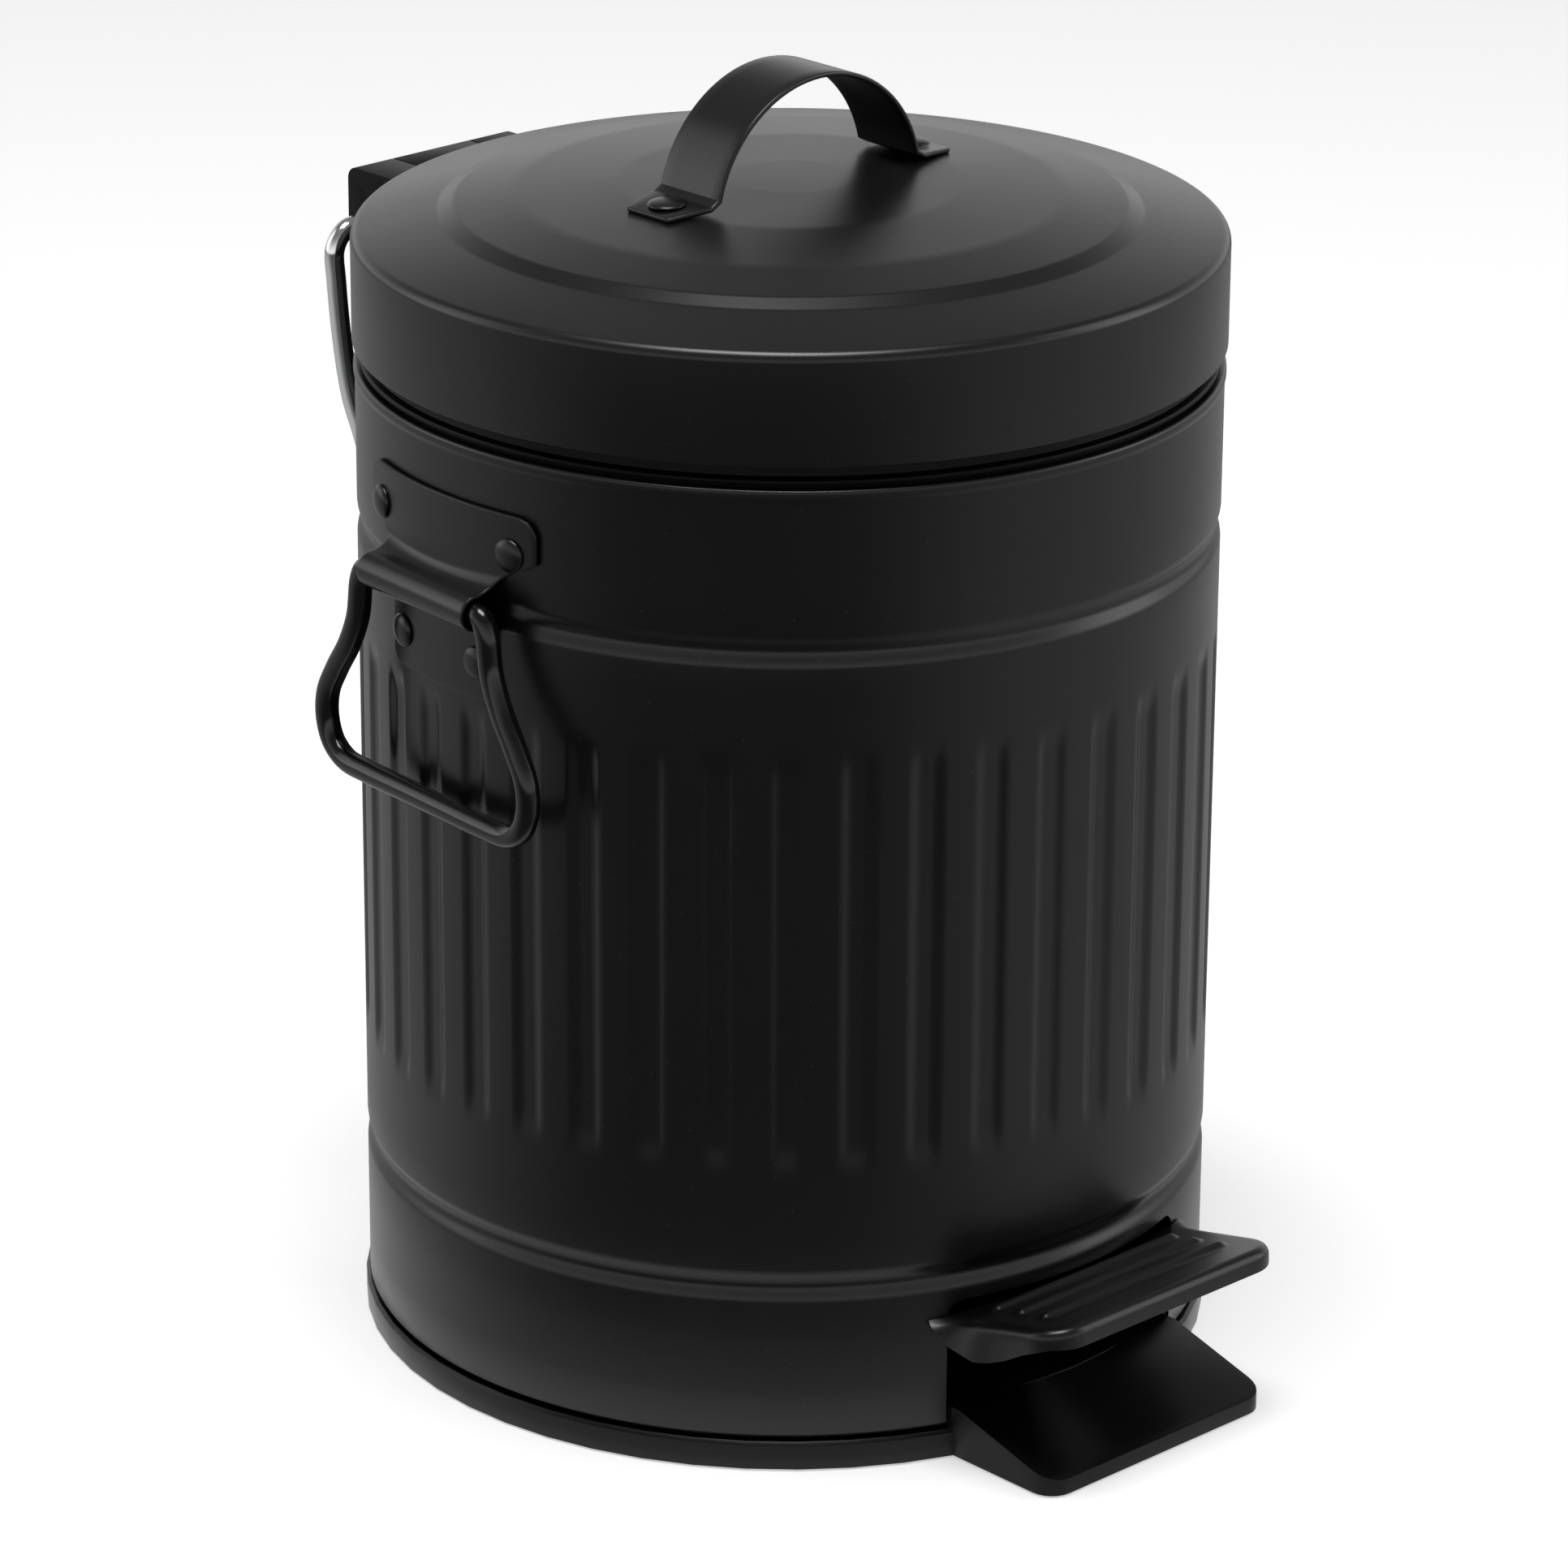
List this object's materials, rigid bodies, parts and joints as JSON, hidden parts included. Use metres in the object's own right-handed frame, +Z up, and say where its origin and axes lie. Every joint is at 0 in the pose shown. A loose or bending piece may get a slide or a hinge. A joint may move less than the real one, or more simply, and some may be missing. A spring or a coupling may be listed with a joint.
{
  "type": "pedal bin",
  "caption": "Round pedal bin styled like a small dustbin: fluted steel body, hinged domed lid with a strap handle, side handles, rear carrying bail and a lift-out bucket.",
  "frame": {"origin": "middle of the four floor pads where they meet the floor, on the axis of the round body", "axes": "+Z up along the body, the pedal points along -Y and the lid hinge is towards +Y"},
  "size_m": [0.2246, 0.262, 0.31],
  "materials": {
    "black_coat": "satin black powder coat on pressed steel",
    "gloss_coat": "gloss black coat on round steel wire",
    "black_plastic": "moulded black plastic, half gloss",
    "bucket_plastic": "moulded dark grey plastic",
    "zinc_plate": "bright zinc plated steel",
    "chrome": "polished chrome plate",
    "rubber": "soft black rubber"
  },
  "bodies": {
    "bin": {"body_shell": "black_coat", "base_tray": "black_plastic", "floor_pad_1": "rubber", "floor_pad_2": "rubber", "floor_pad_3": "rubber", "floor_pad_4": "rubber", "top_collar": "black_plastic", "hinge_housing": "black_plastic", "hinge_pin": "zinc_plate", "housing_screw_lower": "zinc_plate", "housing_screw_upper": "zinc_plate", "pedal_axle": "zinc_plate", "side_plate_left": "black_coat", "side_rivet_left_upper_a": "black_coat", "side_rivet_left_upper_b": "black_coat", "side_rivet_left_lower_a": "black_coat", "side_rivet_left_lower_b": "black_coat", "side_plate_right": "black_coat", "side_rivet_right_upper_a": "black_coat", "side_rivet_right_upper_b": "black_coat", "side_rivet_right_lower_a": "black_coat", "side_rivet_right_lower_b": "black_coat"},
    "lid": {"lid_shell": "black_coat", "lid_strap_handle": "black_coat", "lid_rivet_left": "black_coat", "lid_rivet_right": "black_coat", "lid_hinge_arm": "black_plastic", "lid_screw_left": "zinc_plate", "lid_screw_right": "zinc_plate"},
    "pedal": {"pedal_plate": "black_coat", "pedal_lever": "zinc_plate"},
    "rod": {"lift_rod": "zinc_plate"},
    "handle_left": {"side_handle_left": "gloss_coat"},
    "handle_right": {"side_handle_right": "gloss_coat"},
    "rear_handle": {"rear_bail": "chrome"},
    "bucket": {"inner_bucket": "bucket_plastic"},
    "bucket_handle": {"bucket_bail": "zinc_plate"}
  },
  "joints": [
    {"name": "lid_hinge", "type": "hinge", "parent": "bin", "child": "lid", "pos_m": [0, 0.1198, 0.252], "axis": [-1, 0, 0], "range_deg": [0, 78]},
    {"name": "pedal_pivot", "type": "hinge", "parent": "bin", "child": "pedal", "pos_m": [0, -0.033, 0.02], "axis": [1, 0, 0], "range_deg": [0, 11]},
    {"name": "rod_lift", "type": "slide", "parent": "bin", "child": "rod", "axis": [0, 0, 1], "range_m": [0, 0.0246]},
    {"name": "left_handle_swing", "type": "hinge", "parent": "bin", "child": "handle_left", "pos_m": [-0.10647, 0.00838, 0.2045], "axis": [0.0785, 0.9969, 0], "range_deg": [0, 110]},
    {"name": "right_handle_swing", "type": "hinge", "parent": "bin", "child": "handle_right", "pos_m": [0.10647, 0.00838, 0.2045], "axis": [0.0785, -0.9969, 0], "range_deg": [0, 110]},
    {"name": "rear_handle_swing", "type": "hinge", "parent": "bin", "child": "rear_handle", "pos_m": [0, 0.1198, 0.252], "axis": [1, 0, 0], "range_deg": [0, 90]},
    {"name": "bucket_lift", "type": "slide", "parent": "bin", "child": "bucket", "axis": [0, 0, 1], "range_m": [0, 0.016]},
    {"name": "bucket_handle_swing", "type": "hinge", "parent": "bucket", "child": "bucket_handle", "pos_m": [0, 0, 0.251], "axis": [-1, 0, 0], "range_deg": [0, 8]}
  ],
  "couplings": [
    {"joint": "pedal_pivot", "follows": "lid_hinge", "ratio": 0.14103},
    {"joint": "rod_lift", "follows": "lid_hinge", "m_per_rad": 0.018069}
  ]
}
